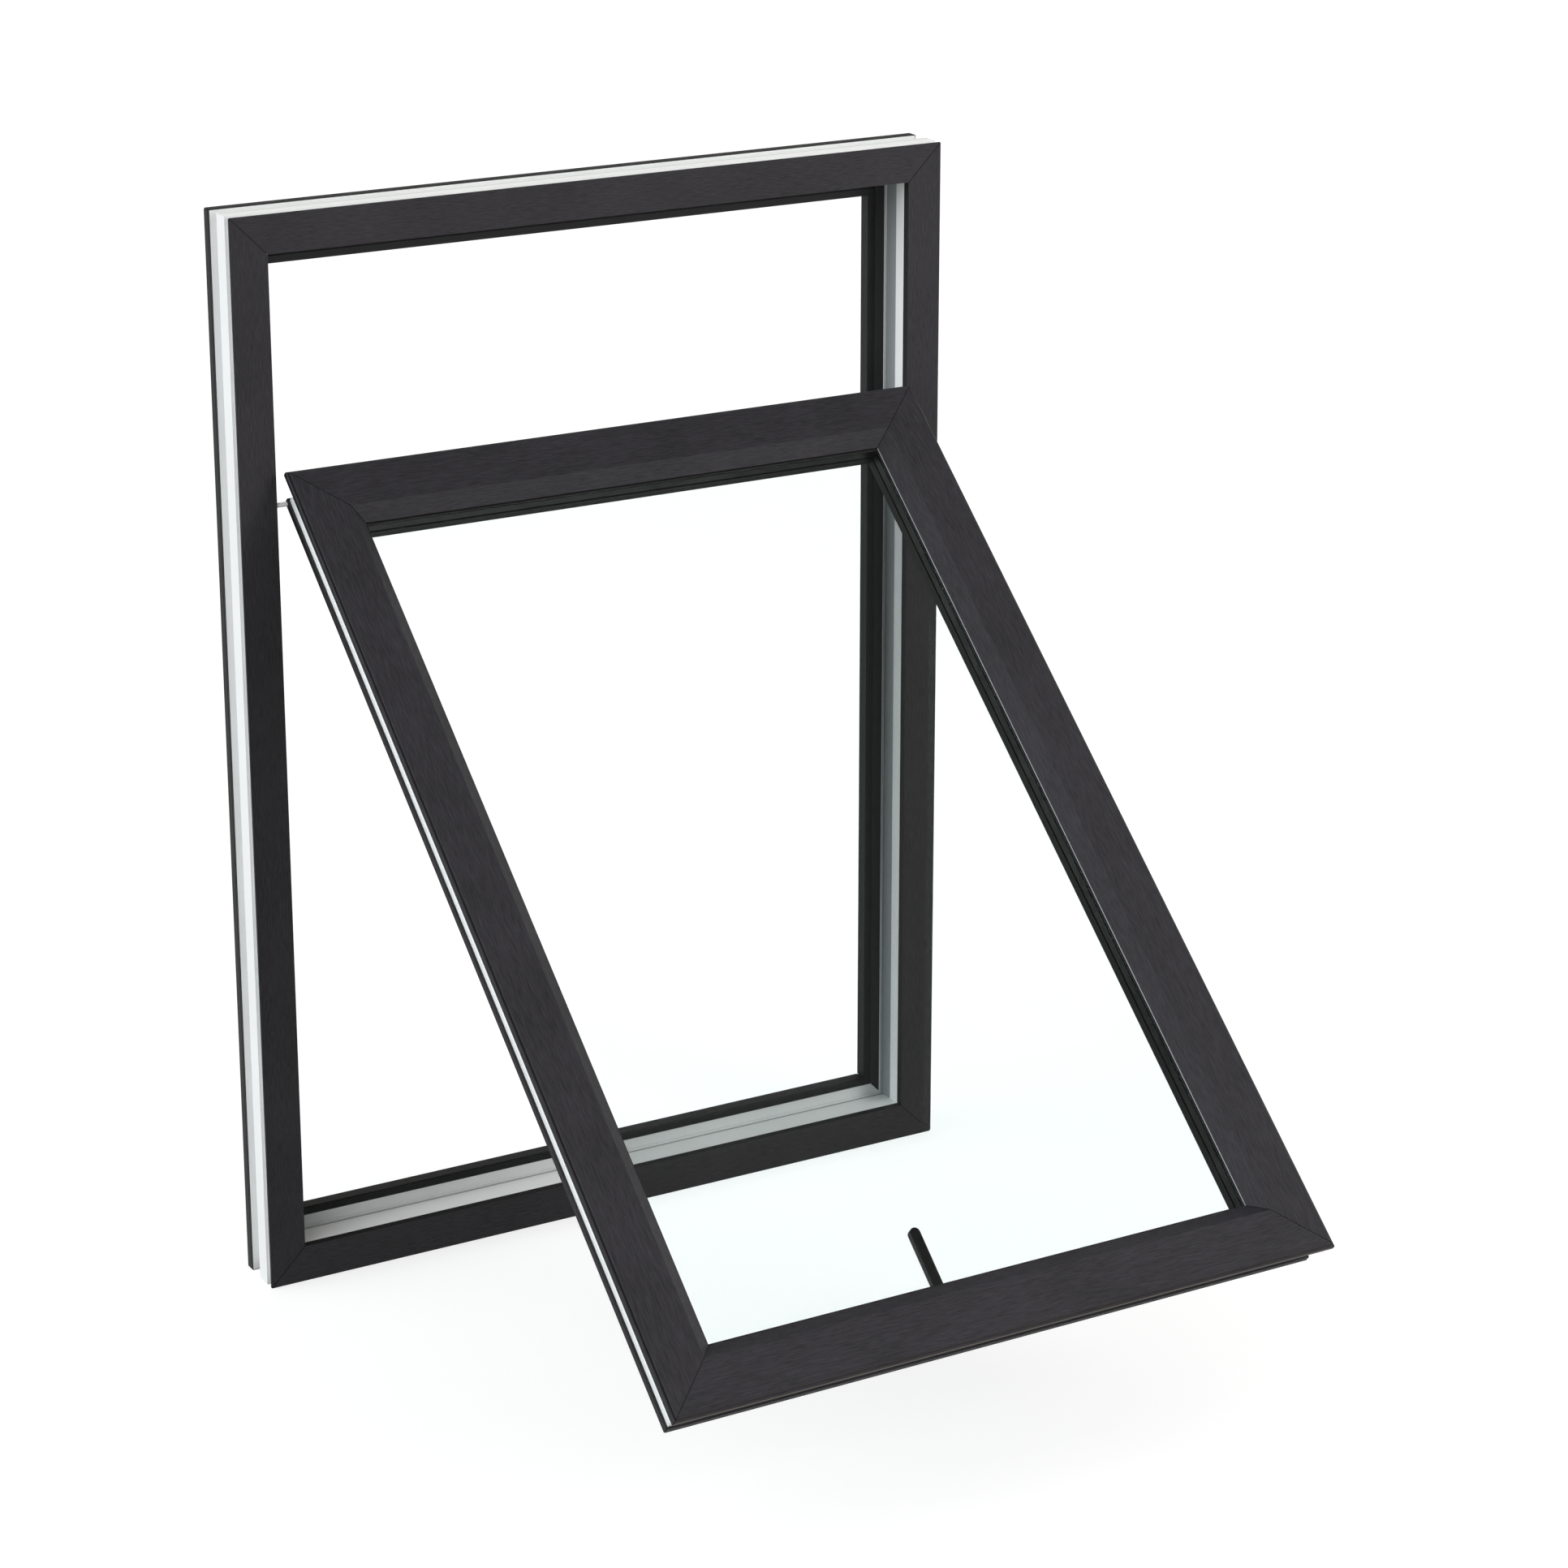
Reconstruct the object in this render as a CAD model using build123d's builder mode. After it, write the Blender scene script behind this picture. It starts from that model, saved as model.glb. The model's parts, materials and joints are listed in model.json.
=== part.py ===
"""Top-hung window that opens outwards, with its sash swung out and its lever turned up.

The frame and the sash are mitred hollow-section plastic bars: a white core, and a dark grained
foil on the faces that the weather and the room see. The sash carries a sealed double pane.
Millimetres. X runs to the right as seen from outside, Y into the room and Z up. The origin is the
middle of the underside of the sill's back flange, where the window stands in its wall.
"""

import os
from math import cos, radians, sin

from build123d import *

# Frame, outer size and section (a section is measured from its outer edge and from its front)
frame_width = 990.0
frame_height = 1390.0
frame_depth = 77.0
frame_face = 48.0
frame_wrap = 11.0
front_plate = 3.0
groove_depth = 8.0
rib_front = 14.0
rib_width = 24.0
channel_depth = 11.0
back_flange = 15.0
stop_reach = 25.0
stop_thickness = 17.0
stop_step = 13.5
rebate_front = 30.0
rebate_step = 3.0
rebate_rib = 3.0
line_width = 1.2
line_depth = 0.8
line_inset = 2.5
foil = 1.0
seam_width = 0.6
seam_depth = 0.8

# Room around the closed sash
side_gap = 5.0
sill_gap = 10.0

# Sash section
sash_depth = 59.0
lip = 3.5
lip_front = 3.0
lip_chamfer = 1.5
edge_chamfer = 0.8
leaf_depth = 9.5
sash_face = 59.0
bevel_width = 18.0
bevel_depth = 16.0
nose = 2.0
sash_flange = 12.0
flange_inset = 9.8
flange_chamfer = 4.0
core_inset = 13.0
core_step = 1.4
core_step_depth = 43.0
rebate_inset = 66.0

# Glazing
pane = 4.0
cavity = 12.0
glass_inset = 70.0
outer_seal = 2.0
inner_seal = 3.0
seal_show = 2.0
seal_round = 0.7
bead_bevel = 4.0
spacer_width = 12.0

# Stop gasket
gasket_width = 9.0
gasket_height = 2.0
gasket_inset = 1.0
gasket_round = 0.8

# Sash as the photograph shows it: swung out, with its top edge lowered and a little forward
open_angle = 49.3
open_drop = 257.0
open_reach = 17.7

# Guide rollers at the top corners of the sash
roller_diameter = 6.0
pin_diameter = 4.0
pin_length = 9.0
pin_play = 0.3
pin_below_flange = 5.0
pin_ahead = 7.5

# Handle
handle_side = -20.0
handle_up = 45.0
plate_length = 70.0
plate_width = 28.0
plate_thickness = 10.0
plate_round = 4.0
neck_diameter = 18.0
neck_length = 26.0
spindle_play = 0.3
lever_length = 138.0
lever_width = 13.0
lever_thickness = 11.0
lever_round = 3.5

SIDES = {"top": 0, "left": 90, "bottom": 180, "right": 270}
FRAME_NAMES = {"top": "head", "left": "left_jamb", "bottom": "sill", "right": "right_jamb"}
SASH_NAMES = {"top": "top_rail", "left": "left_stile", "bottom": "bottom_rail", "right": "right_stile"}


def save(part, name):
    """Name a finished piece and write it to its own file."""
    part.label = name
    export_step(part, f"parts/{name}.step")


def bar_planes(face, width, height, turn):
    """Give the plane of a ring turned to one side, the plane of that side's section, and half sizes."""
    along_dir = face.x_dir.rotate(Axis((0, 0, 0), face.z_dir), turn)
    turned = Plane(origin=face.origin, x_dir=along_dir, z_dir=face.z_dir)
    across, along = (height, width) if turn % 180 == 0 else (width, height)
    edge = turned.from_local_coords((0, across / 2, 0))
    section = Plane(origin=edge, x_dir=-turned.y_dir, z_dir=along_dir)
    return turned, section, along / 2, across / 2


def mitre_points(outline, half_along, half_across):
    """Give the corners of the area that a bar keeps between its two mitres."""
    reach = max(point[0] for point in outline)
    return [
        (-half_along, half_across),
        (half_along, half_across),
        (half_along - reach, half_across - reach),
        (reach - half_along, half_across - reach),
    ]


def mitred_bar(face, width, height, turn, outline, skins=(), bores=()):
    """Make one side of a mitred ring from its section, less the skins that cover it and its bores."""
    turned, section, half_along, half_across = bar_planes(face, width, height, turn)
    with BuildPart() as bar:
        with BuildSketch(section):
            with BuildLine():
                Polyline(*outline, close=True)
            make_face()
            for skin in skins:
                with BuildLine():
                    Polyline(*skin)
                    offset(amount=foil, side=Side.LEFT, kind=Kind.INTERSECTION)
                make_face(mode=Mode.SUBTRACT)
        extrude(amount=half_along, both=True)
        with BuildSketch(turned):
            with BuildLine():
                Polyline(*mitre_points(outline, half_along, half_across), close=True)
            make_face()
        extrude(amount=2 * frame_depth, both=True, mode=Mode.INTERSECT)
        for bore in bores:
            add(bore, mode=Mode.SUBTRACT)
    return bar.part


def mitred_skin(face, width, height, turn, path, bores=()):
    """Make the foil on one side of a mitred ring, with a fine seam let into it along both mitres.

    Its section is a band, one foil thick, on the inner side of the path that it is given.
    """
    turned, section, half_along, half_across = bar_planes(face, width, height, turn)
    with BuildPart() as seams:
        with BuildSketch(section):
            with BuildLine():
                Polyline(*path)
                offset(amount=seam_depth, side=Side.LEFT, kind=Kind.INTERSECTION)
            make_face()
        extrude(amount=half_along, both=True)
        with BuildSketch(turned):
            with BuildLine():
                Polyline(*mitre_points(path, half_along - seam_width, half_across), close=True)
            make_face()
        extrude(amount=2 * frame_depth, both=True, mode=Mode.SUBTRACT)
    with BuildPart() as skin:
        with BuildSketch(section):
            with BuildLine():
                Polyline(*path)
                offset(amount=foil, side=Side.LEFT, kind=Kind.INTERSECTION)
            make_face()
        extrude(amount=half_along, both=True)
        with BuildSketch(turned):
            with BuildLine():
                Polyline(*mitre_points(path, half_along, half_across), close=True)
            make_face()
        extrude(amount=2 * frame_depth, both=True, mode=Mode.INTERSECT)
        for cut in (seams.part, *bores):
            add(cut, mode=Mode.SUBTRACT)
    return skin.part


def ring(face, width, height, outer, inner, front, back, soft=0):
    """Make a flat ring between two insets from the edge of a face and two depths behind it.

    A ring of rubber has the edges of its front rounded by a soft radius.
    """
    with BuildPart() as band:
        with BuildSketch(face.offset(-back)):
            Rectangle(width - 2 * outer, height - 2 * outer)
            Rectangle(width - 2 * inner, height - 2 * inner, mode=Mode.SUBTRACT)
        extrude(amount=back - front)
        if soft:
            fillet(band.faces().sort_by(Axis(face.origin, face.z_dir))[-1].edges(), soft)
    return band.part


os.makedirs("parts", exist_ok=True)

# Frame section, from the outer edge (first number) and from the front (second number)
stop_front = frame_depth - stop_thickness
frame_inner = frame_face + stop_reach
flange_front = frame_depth - back_flange
edge_line = flange_front + line_inset
rib_back = rib_front + rib_width
rebate_back = stop_front - rebate_rib
rebate_floor = frame_face - rebate_step
front_y = -(flange_front + back_flange / 2)
frame_plane = Plane(
    origin=(0, front_y, frame_height / 2),
    x_dir=(1, 0, 0),
    z_dir=(0, -1, 0),
)
frame_outline = [
    (0, 0),
    (frame_face, 0),
    (frame_face, rebate_front),
    (rebate_floor, rebate_front),
    (rebate_floor, rebate_back),
    (frame_face, rebate_back),
    (frame_face, stop_front),
    (frame_inner, stop_front),
    (frame_inner, frame_depth),
    (0, frame_depth),
    (0, edge_line + line_width),
    (line_depth, edge_line + line_width),
    (line_depth, edge_line),
    (0, edge_line),
    (0, flange_front),
    (channel_depth, flange_front),
    (channel_depth, rib_back),
    (0, rib_back),
    (0, rib_front),
    (groove_depth, rib_front),
    (groove_depth, front_plate),
    (0, front_plate),
]
frame_front_path = [(0, front_plate), (0, 0), (frame_face, 0), (frame_face, frame_wrap)]
frame_back_path = [
    (frame_face + stop_step, stop_front),
    (frame_inner, stop_front),
    (frame_inner, frame_depth),
    (0, frame_depth),
    (0, edge_line + line_width),
    (line_depth, edge_line + line_width),
    (line_depth, edge_line),
    (0, edge_line),
    (0, flange_front),
]
for side, turn in SIDES.items():
    name = FRAME_NAMES[side]
    skins = (frame_front_path, frame_back_path)
    core = mitred_bar(frame_plane, frame_width, frame_height, turn, frame_outline, skins)
    save(core, name)
    for end, path in (("front", frame_front_path), ("back", frame_back_path)):
        skin = mitred_skin(frame_plane, frame_width, frame_height, turn, path)
        save(skin, f"{name}_{end}_foil")

# Gasket on the face of the stop, all round
gasket_inner = frame_inner - gasket_inset
stop_gasket = ring(
    frame_plane,
    frame_width,
    frame_height,
    gasket_inner - gasket_width,
    gasket_inner,
    stop_front - gasket_height,
    stop_front,
    gasket_round,
)
save(stop_gasket, "stop_gasket")

# Sash size over its lip, and its face plane in the open place
sash_width = frame_width - 2 * (frame_face + side_gap)
sash_height = frame_height - 2 * frame_face - side_gap - sill_gap
closed_top = frame_height - frame_face - side_gap
tilt = radians(open_angle)
sash_up = Vector(0, sin(tilt), cos(tilt))
sash_back = Vector(0, cos(tilt), -sin(tilt))
sash_top = Vector(0, front_y - open_reach, closed_top - open_drop)
sash_plane = Plane(
    origin=sash_top - sash_up * (sash_height / 2),
    x_dir=(1, 0, 0),
    z_dir=-sash_back,
)

# Sash section, from the edge of the lip (first number) and from the face (second number)
face_end = lip + sash_face
daylight = face_end + bevel_width
nose_back = bevel_depth + nose
sash_flange_front = sash_depth - sash_flange
glass_front = nose_back + outer_seal
cavity_front = glass_front + pane
cavity_back = cavity_front + cavity
glass_back = cavity_back + pane
bead_front = glass_back + inner_seal
sash_front_path = [
    (0, leaf_depth),
    (0, lip_front + lip_chamfer),
    (lip_chamfer, lip_front),
    (lip, lip_front),
    (lip, edge_chamfer),
    (lip + edge_chamfer, 0),
    (face_end, 0),
    (daylight, bevel_depth),
    (daylight, nose_back),
]
sash_back_path = [
    (rebate_inset, sash_depth),
    (flange_inset + flange_chamfer, sash_depth),
    (flange_inset, sash_depth - flange_chamfer),
    (flange_inset, sash_flange_front),
    (core_inset, sash_flange_front),
]
sash_outline = [
    *sash_front_path,
    (rebate_inset, nose_back),
    *sash_back_path,
    (core_inset, core_step_depth),
    (core_inset + core_step, core_step_depth),
    (core_inset + core_step, leaf_depth),
]

# Guide roller axis, measured down the sash from its lip and back from its face
pin_down = flange_inset + pin_below_flange
pin_back = sash_depth - pin_ahead
pin_middle = sash_top - sash_up * pin_down + sash_back * pin_back
flange_x = sash_width / 2 - flange_inset
roller_end = frame_width / 2 - frame_face - pin_play


def guide_hole(side_x):
    """Make the bore that takes a guide pin, from the flange inwards on one side."""
    sign = 1 if side_x > 0 else -1
    plane = Plane(origin=(side_x, pin_middle.Y, pin_middle.Z), x_dir=(0, 1, 0), z_dir=(-sign, 0, 0))
    with BuildPart() as hole:
        with BuildSketch(plane):
            Circle(pin_diameter / 2 + pin_play)
        extrude(amount=pin_length + pin_play)
    return hole.part


guide_holes = [guide_hole(-flange_x), guide_hole(flange_x)]
sash_skins = (sash_front_path, sash_back_path)
for side, turn in SIDES.items():
    name = f"sash_{SASH_NAMES[side]}"
    bores = [] if side == "bottom" else guide_holes
    save(mitred_bar(sash_plane, sash_width, sash_height, turn, sash_outline, sash_skins, bores), name)
    front = mitred_skin(sash_plane, sash_width, sash_height, turn, sash_front_path)
    save(front, f"{name}_front_foil")
    back = mitred_skin(sash_plane, sash_width, sash_height, turn, sash_back_path, bores)
    save(back, f"{name}_back_foil")

# Sealed double pane, its spacer, and the seals and beads that hold it
for name, inset, show, front, back in (
    ("outer_glazing_seal", rebate_inset, seal_show, nose_back, glass_front),
    ("inner_glazing_seal", glass_inset, seal_show, glass_back, bead_front),
):
    seal = ring(
        sash_plane, sash_width, sash_height, inset, daylight + show, front, back, seal_round
    )
    save(seal, name)
spacer = ring(
    sash_plane,
    sash_width,
    sash_height,
    glass_inset,
    glass_inset + spacer_width,
    cavity_front,
    cavity_back,
)
save(spacer, "glass_spacer")
for name, back in (("outer_pane", cavity_front), ("inner_pane", glass_back)):
    with BuildPart() as sheet:
        with BuildSketch(sash_plane.offset(-back)):
            Rectangle(sash_width - 2 * glass_inset, sash_height - 2 * glass_inset)
        extrude(amount=pane)
    save(sheet.part, name)

bead_outline = [
    (rebate_inset, bead_front),
    (daylight, bead_front),
    (daylight, sash_depth - bead_bevel),
    (daylight - bead_bevel, sash_depth),
    (rebate_inset, sash_depth),
]
for side, turn in SIDES.items():
    save(mitred_bar(sash_plane, sash_width, sash_height, turn, bead_outline), f"{side}_glazing_bead")

# Guide rollers on pins in the top corners of the sash
for name, sign in (("left_guide", -1), ("right_guide", 1)):
    axis_plane = Plane(
        origin=(sign * flange_x, pin_middle.Y, pin_middle.Z),
        x_dir=(0, 1, 0),
        z_dir=(sign, 0, 0),
    )
    with BuildPart() as guide:
        with BuildSketch(axis_plane.offset(pin_play)):
            Circle(roller_diameter / 2)
        extrude(amount=roller_end - flange_x - pin_play)
        with BuildSketch(axis_plane.offset(-pin_length)):
            Circle(pin_diameter / 2)
        extrude(amount=pin_length + pin_play)
    save(guide.part, name)

# Handle on the inside of the bottom rail: a rose plate and a lever on its neck
handle_seat = sash_plane.offset(-sash_depth)
handle_middle = handle_seat.from_local_coords((handle_side, handle_up - sash_height / 2, 0))
handle_plane = Plane(origin=handle_middle, x_dir=(1, 0, 0), z_dir=sash_back)
with BuildPart() as handle_plate:
    with BuildSketch(handle_plane):
        RectangleRounded(plate_length, plate_width, plate_round)
    extrude(amount=plate_thickness)
    top_edges = handle_plate.faces().sort_by(Axis(handle_middle, sash_back))[-1].edges()
    chamfer(top_edges, plate_round / 4)
save(handle_plate.part, "handle_plate")

lever_back = plate_thickness + neck_length
with BuildPart() as lever_shape:
    with BuildSketch(Plane.XY.offset(plate_thickness + spindle_play)):
        Circle(neck_diameter / 2)
    extrude(amount=neck_length - spindle_play)
    with BuildSketch(Plane.XY.offset(lever_back)):
        with Locations((0, -lever_length / 2 + neck_diameter / 4)):
            SlotOverall(lever_length + neck_diameter / 2, lever_width, rotation=90)
        Circle(neck_diameter / 2)
    extrude(amount=lever_thickness)
    fillet(lever_shape.faces().sort_by(Axis.Z)[-1].edges(), lever_round)
save(handle_plane.location * lever_shape.part, "handle_lever")
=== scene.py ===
"""Looks of a top-hung window: grained foil, white plastic, rubber, glass and a black handle.

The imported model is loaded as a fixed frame. Each sub-assembly is a class that dresses its own
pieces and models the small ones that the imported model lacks. Metres, in the part's own frame:
X to the right as seen from outside, Y into the room, Z up.
"""

import json
import logging
import math
from dataclasses import dataclass
from enum import Enum
from typing import Any

import bpy
from mathutils import Matrix, Vector

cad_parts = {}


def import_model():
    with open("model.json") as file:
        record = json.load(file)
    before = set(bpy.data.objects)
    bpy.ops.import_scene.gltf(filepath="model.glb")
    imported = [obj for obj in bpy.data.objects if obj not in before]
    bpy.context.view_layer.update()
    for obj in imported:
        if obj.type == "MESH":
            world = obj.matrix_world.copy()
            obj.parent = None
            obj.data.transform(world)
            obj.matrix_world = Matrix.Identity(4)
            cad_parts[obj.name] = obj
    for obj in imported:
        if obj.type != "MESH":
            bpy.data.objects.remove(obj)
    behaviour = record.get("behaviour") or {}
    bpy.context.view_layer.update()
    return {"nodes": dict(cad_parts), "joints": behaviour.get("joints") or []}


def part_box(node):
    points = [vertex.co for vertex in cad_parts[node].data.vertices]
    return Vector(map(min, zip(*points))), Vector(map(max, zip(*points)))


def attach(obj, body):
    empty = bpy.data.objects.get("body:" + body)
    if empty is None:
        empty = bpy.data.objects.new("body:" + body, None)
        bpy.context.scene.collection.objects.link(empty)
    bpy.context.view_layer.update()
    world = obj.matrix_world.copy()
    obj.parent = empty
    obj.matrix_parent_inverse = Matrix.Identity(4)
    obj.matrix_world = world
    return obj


LOG = logging.getLogger("top_hung_window")
PHOTO_SIDE = 1932
SENSOR_WIDTH = 36.0

Colour = tuple[float, float, float]
Span = tuple[float, float]
# The sash's copy of the foil's tones, a little bluer than the frame's: painted bluish sheen of the
# sky on the tilted sash.
SASH_SHEEN_TONES: dict[str, Colour] = {
    "dark": (0.0107, 0.0099, 0.0121),
    "light": (0.0385, 0.0355, 0.042),
}
# Painted light: a pale olive-brown for the bottom rail's narrow edges, standing in for the light
# seen on its underside.
UNDERSIDE_PAINTED_LIGHT: Colour = (0.078, 0.066, 0.047)
# Painted highlight: the pale tone of the line along the right stile's lip.
PAINTED_GLINT_TONE: Colour = (0.45, 0.45, 0.46)


class BarRun(Enum):
    """The way that a bar runs, which its grain follows."""

    ACROSS = "across"
    UPRIGHT = "upright"
    DOWN_SASH = "down_sash"

    def turn(self, tilt: float) -> tuple[float, float, float]:
        """Give the turn that lays a bar's length along the pattern's first axis.

        Args:
            tilt: How far the sash is swung out, in radians.

        Returns:
            The three angles of a Mapping node, in radians.
        """
        if self is BarRun.ACROSS:
            return (tilt, 0.0, 0.0)
        if self is BarRun.UPRIGHT:
            return (0.0, math.pi / 2, 0.0)
        return (tilt, math.pi / 2, 0.0)


class Board:
    """A node tree that is being wired."""

    def __init__(self, tree: bpy.types.NodeTree, keep: bool = False) -> None:
        """Start on an empty tree, or go on with one that is kept."""
        self.tree = tree
        if not keep:
            self.tree.nodes.clear()

    def add(
        self, kind: str, inputs: dict[str, Any] | None = None, **settings: Any
    ) -> bpy.types.Node:
        """Add a node, set its settings, and set or join its inputs.

        Args:
            kind: The node's type, without the leading "ShaderNode".
            inputs: Values or output sockets, by the name or number of the input.
            **settings: Properties of the node itself.

        Returns:
            The new node.
        """
        name = kind if kind.startswith("NodeGroup") else f"ShaderNode{kind}"
        node = self.tree.nodes.new(name)
        for key, value in settings.items():
            setattr(node, key, value)
        for key, value in (inputs or {}).items():
            if isinstance(value, bpy.types.NodeSocket):
                self.tree.links.new(value, node.inputs[key])
            else:
                node.inputs[key].default_value = value
        return node

    def place(self, turn: tuple[float, float, float]) -> bpy.types.NodeSocket:
        """Give the place on the piece, turned so that the pattern follows it."""
        spot = self.add("TexCoord")
        return self.add(
            "Mapping", {"Vector": spot.outputs["Object"], "Rotation": turn}
        ).outputs["Vector"]

    def blend(
        self,
        share: bpy.types.NodeSocket,
        low: Colour | bpy.types.NodeSocket,
        high: Colour | bpy.types.NodeSocket,
    ) -> bpy.types.NodeSocket:
        """Mix two colours, given or wired, by a mask."""
        node = self.add("Mix", {"Factor": share}, data_type="RGBA")
        shades = [socket for socket in node.inputs if socket.type == "RGBA"]
        for socket, colour in zip(shades, (low, high)):
            if isinstance(colour, bpy.types.NodeSocket):
                self.tree.links.new(colour, socket)
            else:
                socket.default_value = (*colour, 1.0)
        return next(socket for socket in node.outputs if socket.type == "RGBA")

    def span(
        self, share: bpy.types.NodeSocket, low: float, high: float
    ) -> bpy.types.NodeSocket:
        """Spread a mask over a range of values."""
        return self.add(
            "MapRange", {"Value": share, "To Min": low, "To Max": high}
        ).outputs["Result"]

    def relief(
        self, height: bpy.types.NodeSocket, depth: float, strength: float
    ) -> bpy.types.NodeSocket:
        """Turn a height into a normal, with the real depth in metres."""
        return self.add(
            "Bump", {"Height": height, "Distance": depth, "Strength": strength}
        ).outputs["Normal"]


class Patterns:
    """The node groups that several finishes share."""

    NOISE_SPAN = {"From Min": 0.3, "From Max": 0.7}
    EDGE_SPAN = {"From Min": 0.2, "From Max": 0.6}

    def __init__(self) -> None:
        """Build each group once."""
        self.streaks = self._streaks()
        self.mottle = self._mottle()
        self.speckle = self._speckle()
        self.facing = self._facing()

    @staticmethod
    def _group(name: str, inputs: tuple[str, ...], outputs: tuple[str, ...]) -> Board:
        """Start a group with a place or a direction, some numbers in, and some masks out.

        Args:
            name: The group's name.
            inputs: The names of its number inputs.
            outputs: The names of its masks.

        Returns:
            A board on the group's tree.
        """
        tree = bpy.data.node_groups.new(name, "ShaderNodeTree")
        tree.interface.new_socket("Place", in_out="INPUT", socket_type="NodeSocketVector")
        for key in inputs:
            tree.interface.new_socket(key, in_out="INPUT", socket_type="NodeSocketFloat")
        for key in outputs:
            tree.interface.new_socket(key, in_out="OUTPUT", socket_type="NodeSocketFloat")
        return Board(tree)

    def _streaks(self) -> bpy.types.NodeTree:
        """Make fine streaks that run along a bar, and the short pores between them."""
        board = self._group("bar_streaks", ("Along", "Across"), ("Streak", "Pore"))
        given = board.add("NodeGroupInput").outputs
        parts = board.add("SeparateXYZ", {"Vector": given["Place"]}).outputs
        stretched = []
        for axis, rate in (("X", "Along"), ("Y", "Across"), ("Z", "Across")):
            node = board.add("Math", {0: parts[axis], 1: given[rate]}, operation="MULTIPLY")
            stretched.append(node.outputs["Value"])
        spot = board.add("CombineXYZ", dict(zip("XYZ", stretched))).outputs["Vector"]
        streak = board.add(
            "TexNoise", {"Vector": spot, "Scale": 1.0, "Detail": 3.0, "Roughness": 0.62}
        )
        pore = board.add(
            "TexNoise", {"Vector": spot, "Scale": 2.7, "Detail": 1.0, "Roughness": 0.5}
        )
        out = board.add("NodeGroupOutput")
        for name, source in (("Streak", streak), ("Pore", pore)):
            level = board.add("MapRange", {"Value": source.outputs["Fac"], **self.NOISE_SPAN})
            board.tree.links.new(level.outputs["Result"], out.inputs[name])
        return board.tree

    def _mottle(self) -> bpy.types.NodeTree:
        """Make broad, soft patches that keep a large face from looking even."""
        board = self._group("soft_mottle", ("Rate",), ("Patch",))
        given = board.add("NodeGroupInput").outputs
        noise = board.add(
            "TexNoise", {"Vector": given["Place"], "Scale": given["Rate"], "Detail": 4.0}
        )
        level = board.add("MapRange", {"Value": noise.outputs["Fac"], **self.NOISE_SPAN})
        out = board.add("NodeGroupOutput")
        board.tree.links.new(level.outputs["Result"], out.inputs["Patch"])
        return board.tree

    def _speckle(self) -> bpy.types.NodeTree:
        """Make the fine cells of moulded or coated surfaces."""
        board = self._group("fine_speckle", ("Rate",), ("Cell",))
        given = board.add("NodeGroupInput").outputs
        cells = board.add(
            "TexVoronoi", {"Vector": given["Place"], "Scale": given["Rate"]}, feature="SMOOTH_F1"
        )
        out = board.add("NodeGroupOutput")
        board.tree.links.new(cells.outputs["Distance"], out.inputs["Cell"])
        return board.tree

    def _facing(self) -> bpy.types.NodeTree:
        """Tell the broad faces of a bar from its narrow edges, by how far it leans back."""
        board = self._group("bar_facing", ("Front Y", "Front Z"), ("Face",))
        given = board.add("NodeGroupInput").outputs
        front = board.add("CombineXYZ", {"Y": given["Front Y"], "Z": given["Front Z"]}).outputs[0]
        along = board.add(
            "VectorMath", {0: given["Place"], 1: front}, operation="DOT_PRODUCT"
        ).outputs["Value"]
        size = board.add("Math", {0: along}, operation="ABSOLUTE").outputs[0]
        level = board.add("MapRange", {"Value": size, **self.EDGE_SPAN})
        out = board.add("NodeGroupOutput")
        board.tree.links.new(level.outputs["Result"], out.inputs["Face"])
        return board.tree


def new_finish(name: str) -> tuple[bpy.types.Material, Board, bpy.types.Node]:
    """Start a material on one Principled BSDF.

    Args:
        name: The finish's name.

    Returns:
        The material, a board on its tree, and its shader.
    """
    material = bpy.data.materials.new(name)
    material.use_nodes = True
    board = Board(material.node_tree)
    shader = board.add("BsdfPrincipled")
    out = board.add("OutputMaterial")
    board.tree.links.new(shader.outputs["BSDF"], out.inputs["Surface"])
    return material, board, shader


def use_group(board: Board, tree: bpy.types.NodeTree, **inputs: Any) -> Any:
    """Place a node group in a material.

    Args:
        board: The material's board.
        tree: The group.
        **inputs: Its inputs, by name.

    Returns:
        The outputs of the placed group.
    """
    return board.add("Group", inputs, node_tree=tree).outputs


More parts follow.
